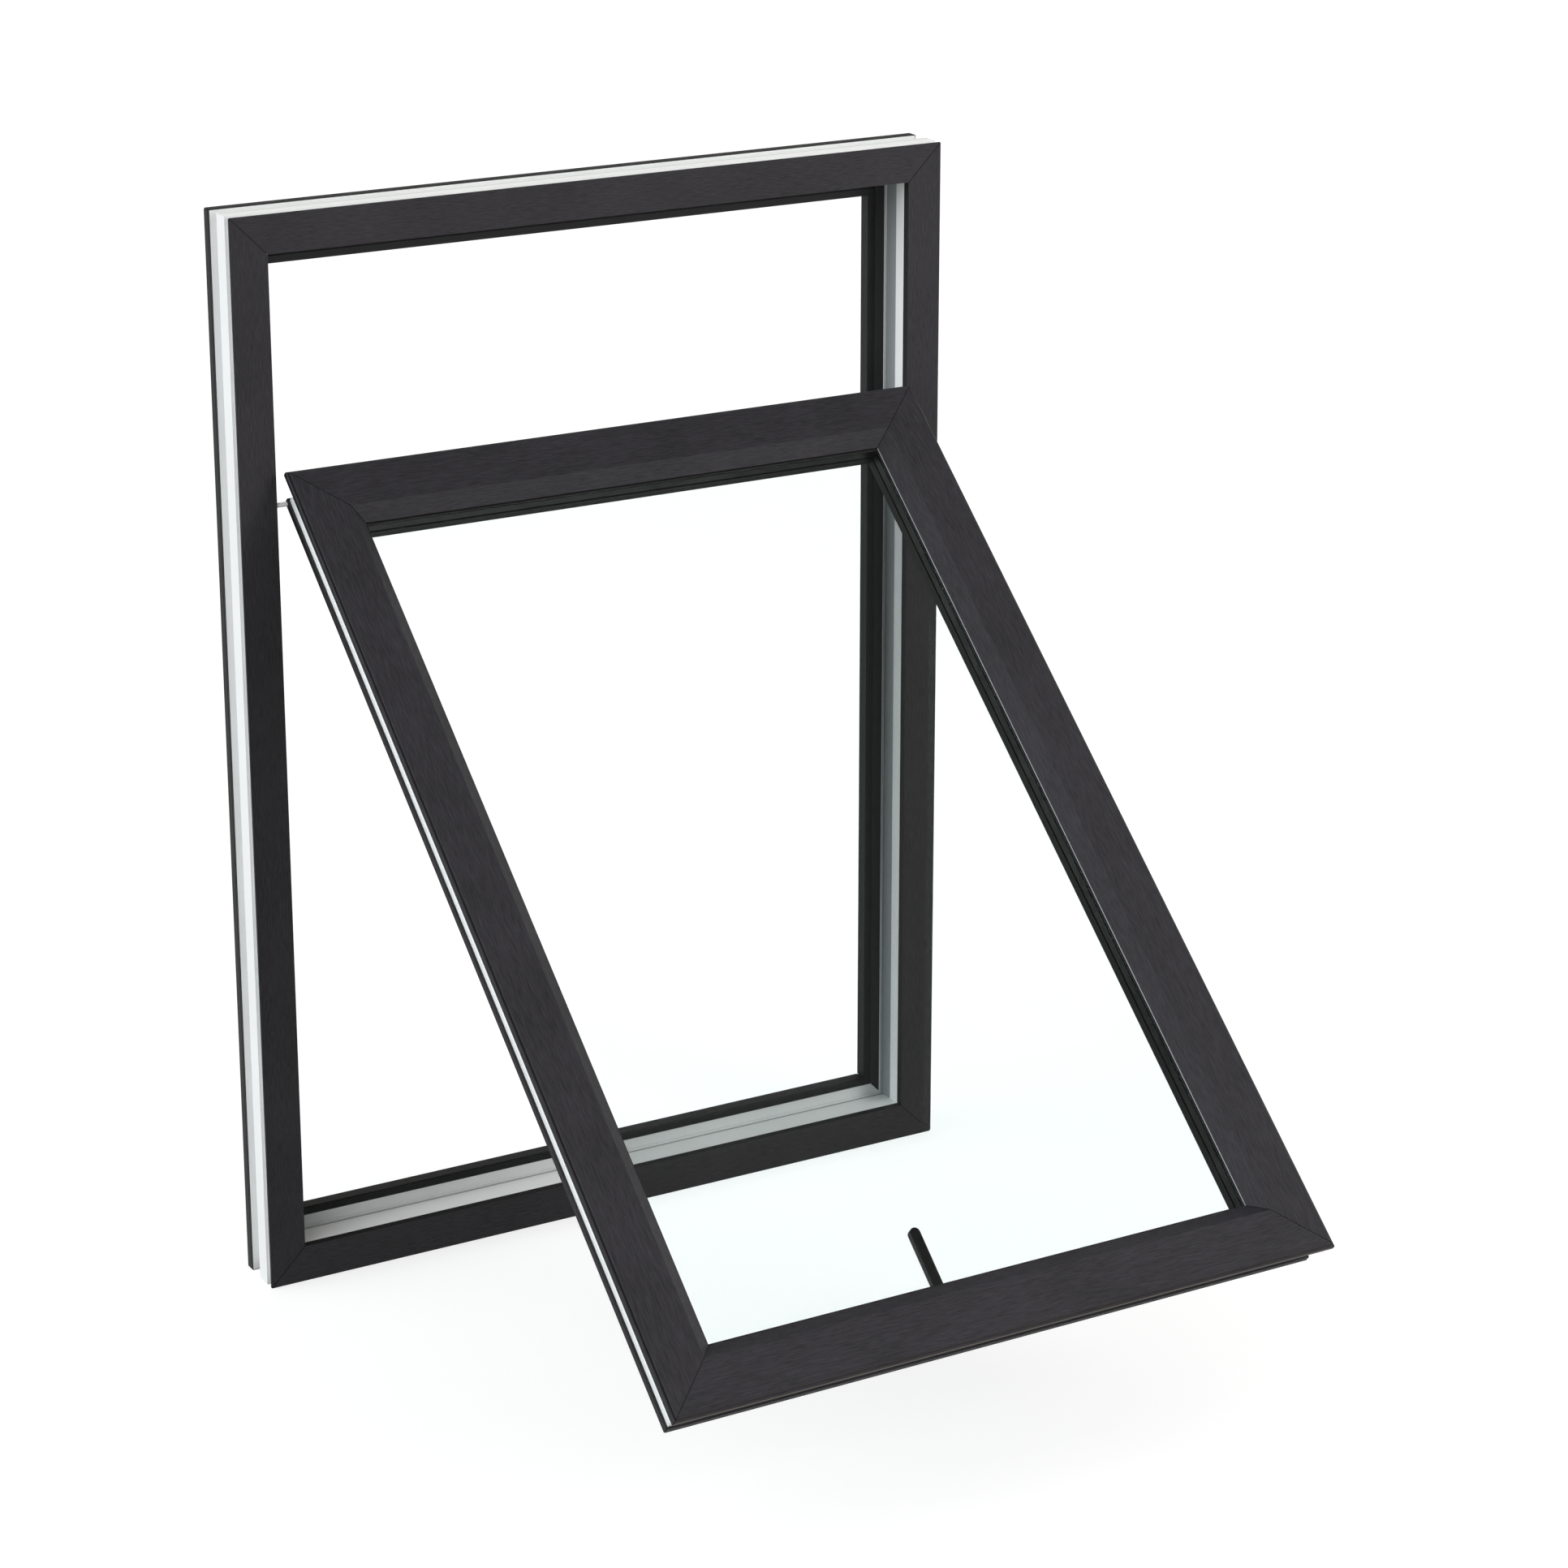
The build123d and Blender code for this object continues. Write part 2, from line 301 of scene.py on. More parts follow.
@dataclass(frozen=True)
class GrainedFoil:
    """Dark foil with a fine grain that runs along the bar, with painted shade on its narrow edges.
    """

    name: str
    run: BarRun
    dark: Colour = (0.0115, 0.0104, 0.0119)
    light: Colour = (0.0392, 0.0355, 0.04)
    # Painted shade: the colour laid on the narrow edges in place of the grain.
    painted_edge: Colour = (0.007, 0.007, 0.0074)
    matt: float = 0.66
    sleek: float = 0.5
    specular: float = 0.22
    along: float = 55.0
    across: float = 850.0
    relief: float = 0.0002
    strength: float = 0.5
    patch_rate: float = 9.0
    streak_share: float = 0.75
    # Painted highlight: a pale tone on the faces that turn to the left, and the span of the
    # normal's X over which it comes in.
    painted_glint: Colour | None = None
    painted_glint_span: Span = (-0.8, -0.97)

    def material(self, patterns: Patterns, lean: float) -> bpy.types.Material:
        """Make the finish for bars that run this way.

        Args:
            patterns: The shared node groups.
            lean: How far the bar's face leans back, in radians.

        Returns:
            The material.
        """
        material, board, shader = new_finish(self.name)
        spot = board.place(self.run.turn(lean))
        outward = board.add("TexCoord").outputs["Normal"]
        front = {"Front Y": -math.cos(lean), "Front Z": math.sin(lean)}
        face = use_group(board, patterns.facing, Place=outward, **front)["Face"]
        grain = use_group(board, patterns.streaks, Place=spot, Along=self.along, Across=self.across)
        patch = use_group(board, patterns.mottle, Place=spot, Rate=self.patch_rate)["Patch"]
        tone = board.add(
            "Math", {0: grain["Streak"], 1: self.streak_share}, operation="MULTIPLY"
        ).outputs[0]
        tone = board.add(
            "Math", {0: patch, 1: 1.0 - self.streak_share, 2: tone}, operation="MULTIPLY_ADD"
        ).outputs[0]
        # Painted shade: where the normal turns away from the bar's front, the edge colour replaces
        # the grain.
        shade = board.blend(face, self.painted_edge, board.blend(tone, self.dark, self.light))
        # Painted highlight: surfaces facing left take the pale tone, a glint along the lip.
        if self.painted_glint is not None:
            side = board.add("SeparateXYZ", {"Vector": outward}).outputs["X"]
            span = dict(zip(("From Min", "From Max"), self.painted_glint_span))
            left = board.add("MapRange", {"Value": side, **span})
            shade = board.blend(left.outputs["Result"], shade, self.painted_glint)
        links = board.tree.links
        links.new(shade, shader.inputs["Base Color"])
        links.new(board.span(grain["Pore"], self.sleek, self.matt), shader.inputs["Roughness"])
        links.new(
            board.relief(grain["Streak"], self.relief, self.strength), shader.inputs["Normal"]
        )
        shader.inputs["Specular IOR Level"].default_value = self.specular
        return material


@dataclass(frozen=True)
class WhitePlastic:
    """Bare white plastic of the bars, with faint lines from the die."""

    name: str
    run: BarRun
    pale: Colour = (0.88, 0.885, 0.88)
    dull: Colour = (0.835, 0.845, 0.84)
    rough: Span = (0.3, 0.42)
    along: float = 1.5
    across: float = 700.0
    patch_rate: float = 6.0
    relief: float = 0.00004
    strength: float = 0.4

    def material(self, patterns: Patterns, lean: float) -> bpy.types.Material:
        """Make the finish for bars that run this way.

        Args:
            patterns: The shared node groups.
            lean: How far the bar's face leans back, in radians.

        Returns:
            The material.
        """
        material, board, shader = new_finish(self.name)
        spot = board.place(self.run.turn(lean))
        lines = use_group(board, patterns.streaks, Place=spot, Along=self.along, Across=self.across)
        patch = use_group(board, patterns.mottle, Place=spot, Rate=self.patch_rate)["Patch"]
        links = board.tree.links
        links.new(board.blend(patch, self.pale, self.dull), shader.inputs["Base Color"])
        links.new(board.span(lines["Streak"], *self.rough), shader.inputs["Roughness"])
        links.new(
            board.relief(lines["Streak"], self.relief, self.strength), shader.inputs["Normal"]
        )
        return material


@dataclass(frozen=True)
class JambPlastic(WhitePlastic):
    """White plastic of the jambs, with painted shade in the rebate's recess and on the face of the
    stop.
    """

    # Painted shade: a grey band on the floor of the rebate's recess, and the stop's white face
    # painted near black where it stands in shade.
    recess_shade: Colour = (0.3, 0.32, 0.325)
    stop: Colour = (0.012, 0.0125, 0.0128)
    recess_shade_inset: float = 0.045
    recess_shade_half: float = 0.001
    stop_inset: float = 0.0475

    def rebate(
        self, patterns: Patterns, material: bpy.types.Material, half_width: float
    ) -> bpy.types.Material:
        """Paint shade on the floor of the rebate's recess and on the face of the stop.

        Args:
            patterns: The shared node groups.
            material: The white plastic that the jambs are made of.
            half_width: Half the width of the frame.

        Returns:
            The same material.
        """
        board = Board(material.node_tree, keep=True)
        shader = next(node for node in board.tree.nodes if node.type == "BSDF_PRINCIPLED")
        white = shader.inputs["Base Color"].links[0].from_socket
        spot = board.add("TexCoord").outputs
        side = board.add("SeparateXYZ", {"Vector": spot["Object"]}).outputs["X"]
        reach = board.add("Math", {0: side}, operation="ABSOLUTE").outputs[0]
        # Painted shade on the recess floor: a thin band at a set distance in from the frame's side.
        floor = board.add(
            "Math",
            {0: reach, 1: half_width - self.recess_shade_inset, 2: self.recess_shade_half},
            operation="COMPARE",
        ).outputs[0]
        inside = board.add(
            "Math", {0: reach, 1: half_width - self.stop_inset}, operation="LESS_THAN"
        ).outputs[0]
        face = use_group(
            board, patterns.facing, Place=spot["Normal"], **{"Front Y": -1.0, "Front Z": 0.0}
        )["Face"]
        # Painted shade on the stop: front-facing surfaces more than the stop's inset in from the
        # frame's side turn near black.
        front = board.add("Math", {0: inside, 1: face}, operation="MULTIPLY").outputs[0]
        recess_shaded = board.blend(floor, white, self.recess_shade)
        board.tree.links.new(
            board.blend(front, recess_shaded, self.stop), shader.inputs["Base Color"]
        )
        return material


@dataclass(frozen=True)
class SillPlastic(WhitePlastic):
    """White plastic of the head and the sill, with painted shade in a line along each corner of the
    rebate.
    """

    # Painted shade: the grey tones of the two lines in the rebate's corners, and where they lie
    # across the bar.
    corner_shade: Colour = (0.36, 0.37, 0.355)
    soft_corner_shade: Colour = (0.62, 0.64, 0.62)
    corner_shade_place: float = -0.0148
    corner_shade_half: float = 0.0022
    soft_place: float = -0.0372
    soft_half: float = 0.0023
    core_share: float = 0.6

    def rebate(self, material: bpy.types.Material) -> bpy.types.Material:
        """Paint the two lines of shade along the bars.

        Args:
            material: The white plastic that the head and the sill are made of.

        Returns:
            The same material.
        """
        board = Board(material.node_tree, keep=True)
        shader = next(node for node in board.tree.nodes if node.type == "BSDF_PRINCIPLED")
        tone = shader.inputs["Base Color"].links[0].from_socket
        spot = board.add("TexCoord").outputs["Object"]
        depth = board.add("SeparateXYZ", {"Vector": spot}).outputs["Y"]
        # Painted shade: each line darkens a band of the bar at a set depth.
        for place, half, colour in (
            (self.soft_place, self.soft_half, self.soft_corner_shade),
            (self.corner_shade_place, self.corner_shade_half, self.corner_shade),
        ):
            off = board.add("Math", {0: depth, 1: place}, operation="SUBTRACT").outputs[0]
            off = board.add("Math", {0: off}, operation="ABSOLUTE").outputs[0]
            span = {"From Min": self.core_share * half, "From Max": half}
            far = board.add("MapRange", {"Value": off, **span}).outputs["Result"]
            tone = board.blend(far, colour, tone)
        board.tree.links.new(tone, shader.inputs["Base Color"])
        return material


@dataclass(frozen=True)
class BlackRubber:
    """Black rubber of the gaskets and seals, with a faint bloom."""

    deep: Colour = (0.006, 0.006, 0.0065)
    bloom: Colour = (0.012, 0.0125, 0.013)
    specular: float = 0.2
    rough: Span = (0.42, 0.58)
    patch_rate: float = 35.0
    cell_rate: float = 1400.0
    relief: float = 0.00006
    strength: float = 0.4

    def material(self, patterns: Patterns) -> bpy.types.Material:
        """Make the finish from the shared node groups."""
        material, board, shader = new_finish("black_rubber")
        spot = board.place(BarRun.ACROSS.turn(0.0))
        patch = use_group(board, patterns.mottle, Place=spot, Rate=self.patch_rate)["Patch"]
        cell = use_group(board, patterns.speckle, Place=spot, Rate=self.cell_rate)["Cell"]
        links = board.tree.links
        links.new(board.blend(patch, self.deep, self.bloom), shader.inputs["Base Color"])
        links.new(board.span(patch, *self.rough), shader.inputs["Roughness"])
        links.new(board.relief(cell, self.relief, self.strength), shader.inputs["Normal"])
        shader.inputs["Specular IOR Level"].default_value = self.specular
        return material


@dataclass(frozen=True)
class SpacerBar:
    """Dark bar between the panes, with fine hatching along it."""

    deep: Colour = (0.006, 0.0065, 0.0065)
    worn: Colour = (0.014, 0.015, 0.015)
    specular: float = 0.15
    rough: Span = (0.35, 0.5)
    cell_rate: float = 420.0
    patch_rate: float = 20.0
    relief: float = 0.0001
    strength: float = 0.4

    def material(self, patterns: Patterns) -> bpy.types.Material:
        """Make the finish from the shared node groups."""
        material, board, shader = new_finish("spacer_bar")
        spot = board.place(BarRun.ACROSS.turn(0.0))
        cell = use_group(board, patterns.speckle, Place=spot, Rate=self.cell_rate)["Cell"]
        patch = use_group(board, patterns.mottle, Place=spot, Rate=self.patch_rate)["Patch"]
        links = board.tree.links
        links.new(board.blend(cell, self.worn, self.deep), shader.inputs["Base Color"])
        links.new(board.span(patch, *self.rough), shader.inputs["Roughness"])
        links.new(board.relief(cell, self.relief, self.strength), shader.inputs["Normal"])
        shader.inputs["Specular IOR Level"].default_value = self.specular
        return material


@dataclass(frozen=True)
class ClearGlass:
    """Clear float glass with a faint green-blue cast and a trace of dust."""

    clean: Colour = (0.885, 0.912, 0.908)
    cast: Colour = (0.878, 0.905, 0.901)
    rough: Span = (0.0, 0.003)
    patch_rate: float = 2.5
    ior: float = 1.5

    def material(self, patterns: Patterns) -> bpy.types.Material:
        """Make the finish from the shared node groups."""
        material, board, shader = new_finish("clear_glass")
        spot = board.place(BarRun.ACROSS.turn(0.0))
        patch = use_group(board, patterns.mottle, Place=spot, Rate=self.patch_rate)["Patch"]
        links = board.tree.links
        links.new(board.blend(patch, self.clean, self.cast), shader.inputs["Base Color"])
        links.new(board.span(patch, *self.rough), shader.inputs["Roughness"])
        shader.inputs["Transmission Weight"].default_value = 1.0
        shader.inputs["IOR"].default_value = self.ior
        return material


@dataclass(frozen=True)
class GuideNylon:
    """Pale nylon of the guide rollers, with turned rings."""

    pale: Colour = (0.86, 0.86, 0.855)
    deep: Colour = (0.8, 0.8, 0.795)
    rough: Span = (0.4, 0.55)
    along: float = 1800.0
    across: float = 90.0
    relief: float = 0.00005
    strength: float = 0.4

    def material(self, patterns: Patterns) -> bpy.types.Material:
        """Make the finish from the shared node groups."""
        material, board, shader = new_finish("guide_nylon")
        spot = board.place(BarRun.ACROSS.turn(0.0))
        rings = use_group(board, patterns.streaks, Place=spot, Along=self.along, Across=self.across)
        links = board.tree.links
        links.new(board.blend(rings["Streak"], self.deep, self.pale), shader.inputs["Base Color"])
        links.new(board.span(rings["Pore"], *self.rough), shader.inputs["Roughness"])
        links.new(
            board.relief(rings["Streak"], self.relief, self.strength), shader.inputs["Normal"]
        )
        return material


@dataclass(frozen=True)
class HandleCoat:
    """Black powder coat of the handle, with the fine orange peel of a sprayed surface."""

    deep: Colour = (0.004, 0.0048, 0.0045)
    worn: Colour = (0.0075, 0.009, 0.0085)
    specular: float = 0.22
    rough: Span = (0.3, 0.42)
    cell_rate: float = 900.0
    patch_rate: float = 60.0
    relief: float = 0.00008
    strength: float = 0.35

    def material(self, patterns: Patterns) -> bpy.types.Material:
        """Make the finish from the shared node groups."""
        material, board, shader = new_finish("handle_black")
        spot = board.place(BarRun.ACROSS.turn(0.0))
        cell = use_group(board, patterns.speckle, Place=spot, Rate=self.cell_rate)["Cell"]
        patch = use_group(board, patterns.mottle, Place=spot, Rate=self.patch_rate)["Patch"]
        links = board.tree.links
        links.new(board.blend(patch, self.deep, self.worn), shader.inputs["Base Color"])
        links.new(board.span(patch, *self.rough), shader.inputs["Roughness"])
        links.new(board.relief(cell, self.relief, self.strength), shader.inputs["Normal"])
        shader.inputs["Specular IOR Level"].default_value = self.specular
        return material


def dress(node: bpy.types.Object, material: bpy.types.Material) -> None:
    """Put a finish on every material slot of a piece.

    Args:
        node: The piece.
        material: The finish.
    """
    if not node.material_slots:
        node.data.materials.append(material)
    for slot in node.material_slots:
        slot.material = material
    LOG.info("%s: %s", node.name, material.name)


@dataclass
class OuterFrame:
    """The frame: four mitred bars with a white core, dark foils, and the gasket on the stop."""

    bars: tuple[tuple[str, BarRun], ...] = (
        ("head", BarRun.ACROSS),
        ("sill", BarRun.ACROSS),
        ("left_jamb", BarRun.UPRIGHT),
        ("right_jamb", BarRun.UPRIGHT),
    )

    def dress(self, nodes: dict[str, bpy.types.Object], finishes: "FinishSet") -> None:
        """Dress the cores, the foils and the gasket.

        Args:
            nodes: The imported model's pieces, by name.
            finishes: The finishes of the window.
        """
        for bar, run in self.bars:
            dress(nodes[bar], finishes.frame_core[run])
            for end in ("front", "back"):
                dress(nodes[f"{bar}_{end}_foil"], finishes.frame_foil[run])
        dress(nodes["stop_gasket"], finishes.rubber)


@dataclass
class Sash:
    """The sash: four mitred bars with a white core, dark foils and the glazing beads."""

    bars: tuple[tuple[str, str, BarRun], ...] = (
        ("sash_top_rail", "top", BarRun.ACROSS),
        ("sash_bottom_rail", "bottom", BarRun.ACROSS),
        ("sash_left_stile", "left", BarRun.DOWN_SASH),
        ("sash_right_stile", "right", BarRun.DOWN_SASH),
    )

    def dress(self, nodes: dict[str, bpy.types.Object], finishes: "FinishSet") -> None:
        """Dress the cores, the foils and the beads.

        Args:
            nodes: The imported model's pieces, by name.
            finishes: The finishes of the window.
        """
        # The bottom rail takes the front foil with painted light on its underside, the right stile
        # the one with a painted highlight.
        front = {"bottom": finishes.bottom_foil_painted_underside, "right": finishes.right_foil_painted_glint}
        for bar, side, run in self.bars:
            foil = finishes.sash_foil[run]
            dress(nodes[bar], finishes.sash_core[run])
            dress(nodes[f"{bar}_front_foil"], front.get(side, foil))
            dress(nodes[f"{bar}_back_foil"], foil)
            dress(nodes[f"{side}_glazing_bead"], foil)


@dataclass
class Glazing:
    """The sealed double pane with its spacer and the seals on both sides."""

    panes: tuple[str, ...] = ("outer_pane", "inner_pane")
    seals: tuple[str, ...] = ("outer_glazing_seal", "inner_glazing_seal")

    def dress(self, nodes: dict[str, bpy.types.Object], finishes: "FinishSet") -> None:
        """Dress the panes, the seals and the spacer.

        Args:
            nodes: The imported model's pieces, by name.
            finishes: The finishes of the window.
        """
        for name in self.panes:
            dress(nodes[name], finishes.glass)
        for name in self.seals:
            dress(nodes[name], finishes.rubber)
        dress(nodes["glass_spacer"], finishes.spacer)


@dataclass
class Handle:
    """The lever handle on the bottom rail, with the screws that hold its plate."""

    screw_spread: float = 0.0215
    screw_radius: float = 0.0037
    screw_rise: float = 0.0008
    slot_width: float = 0.0011
    slot_depth: float = 0.0012
    slot_share: float = 1.15
    round_share: float = 0.55
    round_steps: int = 3
    sides: int = 40
    smooth_degrees: float = 35.0

    def dress(self, nodes: dict[str, bpy.types.Object], finishes: "FinishSet") -> None:
        """Dress the plate, the lever and the guides.

        Args:
            nodes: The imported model's pieces, by name.
            finishes: The finishes of the window.
        """
        for name in ("handle_plate", "handle_lever"):
            dress(nodes[name], finishes.handle)
        for name in ("left_guide", "right_guide"):
            dress(nodes[name], finishes.nylon)

    def screw(self, name: str) -> bpy.types.Object:
        """Model one raised screw head with a cross recess, about its own axis at the origin.

        Args:
            name: The piece's name.

        Returns:
            The screw, with its head up along Z.
        """
        bpy.ops.object.select_all(action="DESELECT")
        bpy.ops.mesh.primitive_cylinder_add(
            vertices=self.sides, radius=self.screw_radius, depth=2 * self.screw_rise
        )
        head = bpy.context.active_object
        head.name = head.data.name = name
        bpy.ops.object.mode_set(mode="EDIT")
        bpy.ops.mesh.select_all(action="DESELECT")
        bpy.ops.object.mode_set(mode="OBJECT")
        for face in head.data.polygons:
            face.select = face.normal.z > 0.9
        bpy.ops.object.mode_set(mode="EDIT")
        bpy.ops.mesh.bevel(
            offset=self.round_share * self.screw_rise, segments=self.round_steps, affect="EDGES"
        )
        bpy.ops.object.mode_set(mode="OBJECT")
        for turn in (0.0, math.pi / 2):
            bpy.ops.object.select_all(action="DESELECT")
            bpy.ops.mesh.primitive_cube_add(size=1.0)
            blade = bpy.context.active_object
            length = self.slot_share * self.screw_radius
            blade.scale = (length, self.slot_width, 2 * self.slot_depth)
            blade.rotation_euler = (0.0, 0.0, turn)
            blade.location = (0.0, 0.0, self.screw_rise)
            bpy.ops.object.transform_apply(location=True, rotation=True, scale=True)
            cut = head.modifiers.new("recess", "BOOLEAN")
            cut.operation = "DIFFERENCE"
            cut.object = blade
            bpy.context.view_layer.objects.active = head
            bpy.ops.object.modifier_apply(modifier=cut.name)
            bpy.data.objects.remove(blade)
        bpy.ops.object.select_all(action="DESELECT")
        head.select_set(True)
        bpy.context.view_layer.objects.active = head
        bpy.ops.object.shade_smooth_by_angle(angle=math.radians(self.smooth_degrees))
        return head

    def fasten(self, finishes: "FinishSet", tilt: float, plate: bpy.types.Object) -> None:
        """Set the two screws in the plate, one on each side of the neck.

        Args:
            finishes: The finishes of the window.
            tilt: How far the sash is swung out, in radians.
            plate: The handle's plate.
        """
        back = Vector((0.0, math.cos(tilt), -math.sin(tilt)))
        across = Vector((1.0, 0.0, 0.0))
        low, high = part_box("handle_plate")
        middle = (low + high) / 2
        top = max((v.co - middle).dot(back) for v in plate.data.vertices)
        turn = Matrix((across, back.cross(across), back)).transposed().to_4x4()
        for side, sign in (("left", -1), ("right", 1)):
            head = self.screw(f"handle_screw_{side}")
            spot = middle + back * top + across * (sign * self.screw_spread)
            head.matrix_world = Matrix.Translation(spot) @ turn
            bpy.ops.object.transform_apply(location=True, rotation=True, scale=True)
            dress(head, finishes.handle)
            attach(head, "sash")


class FinishSet:
    """Every finish of the window, each made once."""

    def __init__(self, tilt: float, half_width: float) -> None:
        """Make the finishes.

        Args:
            tilt: How far the sash is swung out, in radians.
            half_width: Half the width of the frame.
        """
        patterns = Patterns()
        self.frame_foil = {
            run: GrainedFoil(f"frame_foil_{run.value}", run).material(patterns, 0.0)
            for run in (BarRun.ACROSS, BarRun.UPRIGHT)
        }
        # The sash foils take the bluer tones with the painted sheen.
        self.sash_foil = {
            run: GrainedFoil(f"sash_foil_{run.value}", run, **SASH_SHEEN_TONES).material(patterns, tilt)
            for run in (BarRun.ACROSS, BarRun.DOWN_SASH)
        }
        # The bottom rail's front foil, with painted light on its narrow edges.
        self.bottom_foil_painted_underside = GrainedFoil(
            "sash_foil_bottom_painted_underside", BarRun.ACROSS, painted_edge=UNDERSIDE_PAINTED_LIGHT, **SASH_SHEEN_TONES
        ).material(patterns, tilt)
        # The right stile's front foil, with a painted highlight along its lip.
        self.right_foil_painted_glint = GrainedFoil(
            "sash_foil_right_painted_glint", BarRun.DOWN_SASH, painted_glint=PAINTED_GLINT_TONE, **SASH_SHEEN_TONES
        ).material(patterns, tilt)
        self.sash_core = {
            run: WhitePlastic(f"sash_plastic_{run.value}", run).material(patterns, tilt)
            for run in (BarRun.ACROSS, BarRun.DOWN_SASH)
        }
        jamb = JambPlastic("jamb_plastic", BarRun.UPRIGHT)
        sill = SillPlastic("sill_plastic", BarRun.ACROSS)
        self.frame_core = {
            BarRun.UPRIGHT: jamb.rebate(patterns, jamb.material(patterns, 0.0), half_width),
            BarRun.ACROSS: sill.rebate(sill.material(patterns, 0.0)),
        }
        self.rubber = BlackRubber().material(patterns)
        self.spacer = SpacerBar().material(patterns)
        self.glass = ClearGlass().material(patterns)
        self.nylon = GuideNylon().material(patterns)
        self.handle = HandleCoat().material(patterns)


@dataclass
class Studio:
    """A pale floor, soft light and the camera.

    The spans say between which parts of a direction the sky goes from one level to the next.
    """

    floor_size: float = 24.0
    floor_drop: float = 0.0004
    floor_colour: Colour = (0.4, 0.4, 0.4)
    floor_rough: float = 0.9
    floor_lift: float = 0.7
    through_glass: float = 1.45
    sky_light: float = 0.11
    top_light: float = 0.85
    left_light: float = 3.1
    glass_shade: float = 0.15
    warm: Colour = (1.03, 1.0, 0.955)
    cool: Colour = (0.965, 1.0, 1.02)
    ceiling_gloss: float = 0.04
    front_gloss: float = 0.75
    left_gloss: float = 3.5
    right_gloss: float = 1.5
    key_power: float = 175.0
    key_size: float = 2.4
    key_place: Colour = (3.2, -5.2, 3.0)
    key_aim: Colour = (0.0, -0.3, 0.7)
    top_span: Span = (0.4, 1.0)
    left_span: Span = (-0.35, -0.95)
    low_span: Span = (0.0, 0.4)
    low_share: float = 0.35
    front_span: Span = (-0.3, 0.1)
    ceiling_span: Span = (0.2, 0.6)
    left_gloss_span: Span = (-0.3, -0.65)
    left_gloss_rise: Span = (0.25, 0.55)
    right_gloss_span: Span = (0.55, 0.85)
    tint_span: Span = (0.3, -0.7)
    focal_pixels: float = 5179.0
    yaw: float = 29.91
    pitch: float = 17.57
    shift: float = -0.075
    camera_place: Colour = (-2.365, -4.635, 2.384)

    @staticmethod
    def _sum(board: Board, kind: str, *terms: Any) -> bpy.types.NodeSocket:
        """Put numbers together one after another by a Math operation, clamped to 0 and 1."""
        total = terms[0]
        for term in terms[1:]:
            node = board.add("Math", {0: total, 1: term}, operation=kind, use_clamp=True)
            total = node.outputs[0]
        return total

    def _seen(self, board: Board) -> bpy.types.NodeSocket:
        """Give 1 for the rays that show the background, straight or in gloss or glass."""
        path = board.add("LightPath").outputs
        shown = self._sum(
            board, "ADD", path["Is Camera Ray"], path["Is Glossy Ray"], path["Is Transmission Ray"]
        )
        return self._sum(board, "SUBTRACT", shown, path["Diffuse Depth"])

    def _behind_glass(self, board: Board) -> bpy.types.NodeSocket:
        """Give 1 for the light that would reach a surface through the panes."""
        path = board.add("LightPath").outputs
        return self._sum(
            board, "MULTIPLY", path["Is Transmission Ray"], path["Diffuse Depth"]
        )

    def _clear_view(self, board: Board, level: float) -> bpy.types.NodeSocket:
        """Give the background's level, made up behind the panes for what they hold back."""
        glass = board.add("LightPath").outputs["Is Transmission Ray"]
        return board.span(glass, level, level + self.through_glass - 1.0)

    def floor(self) -> None:
        """Lay the floor, which stays white and keeps the object's soft shadow."""
        bpy.ops.object.select_all(action="DESELECT")
        bpy.ops.mesh.primitive_plane_add(
            size=self.floor_size, location=(0.0, 0.0, -self.floor_drop)
        )
        floor = bpy.context.active_object
        floor.name = "floor"
        material, board, shader = new_finish("pale_floor")
        shader.inputs["Base Color"].default_value = (*self.floor_colour, 1.0)
        shader.inputs["Roughness"].default_value = self.floor_rough
        shader.inputs["Specular IOR Level"].default_value = 0.0
        shader.inputs["Emission Color"].default_value = (1.0, 1.0, 1.0, 1.0)
        level = self._clear_view(board, self.floor_lift)
        lift = board.add(
            "Math", {0: self._seen(board), 1: level}, operation="MULTIPLY"
        ).outputs[0]
        board.tree.links.new(lift, shader.inputs["Emission Strength"])
        dress(floor, material)

    def light(self) -> None:
        """Set a soft sky, brighter on the left, and one large soft lamp in front."""
        world = bpy.data.worlds.new("studio")
        bpy.context.scene.world = world
        world.use_nodes = True
        board = Board(world.node_tree)
        ray = board.add("TexCoord").outputs["Generated"]
        way = board.add("SeparateXYZ", {"Vector": ray}).outputs
        seen = self._seen(board)
        straight = board.add("LightPath").outputs["Is Camera Ray"]

        def step(source: Any, span: Span, low: Any, high: Any) -> Any:
            """Go from one value to another as a number passes along a span."""
            start, end = span
            limits = {"From Min": start, "From Max": end, "To Min": low, "To Max": high}
            return board.add("MapRange", {"Value": source, **limits}).outputs["Result"]

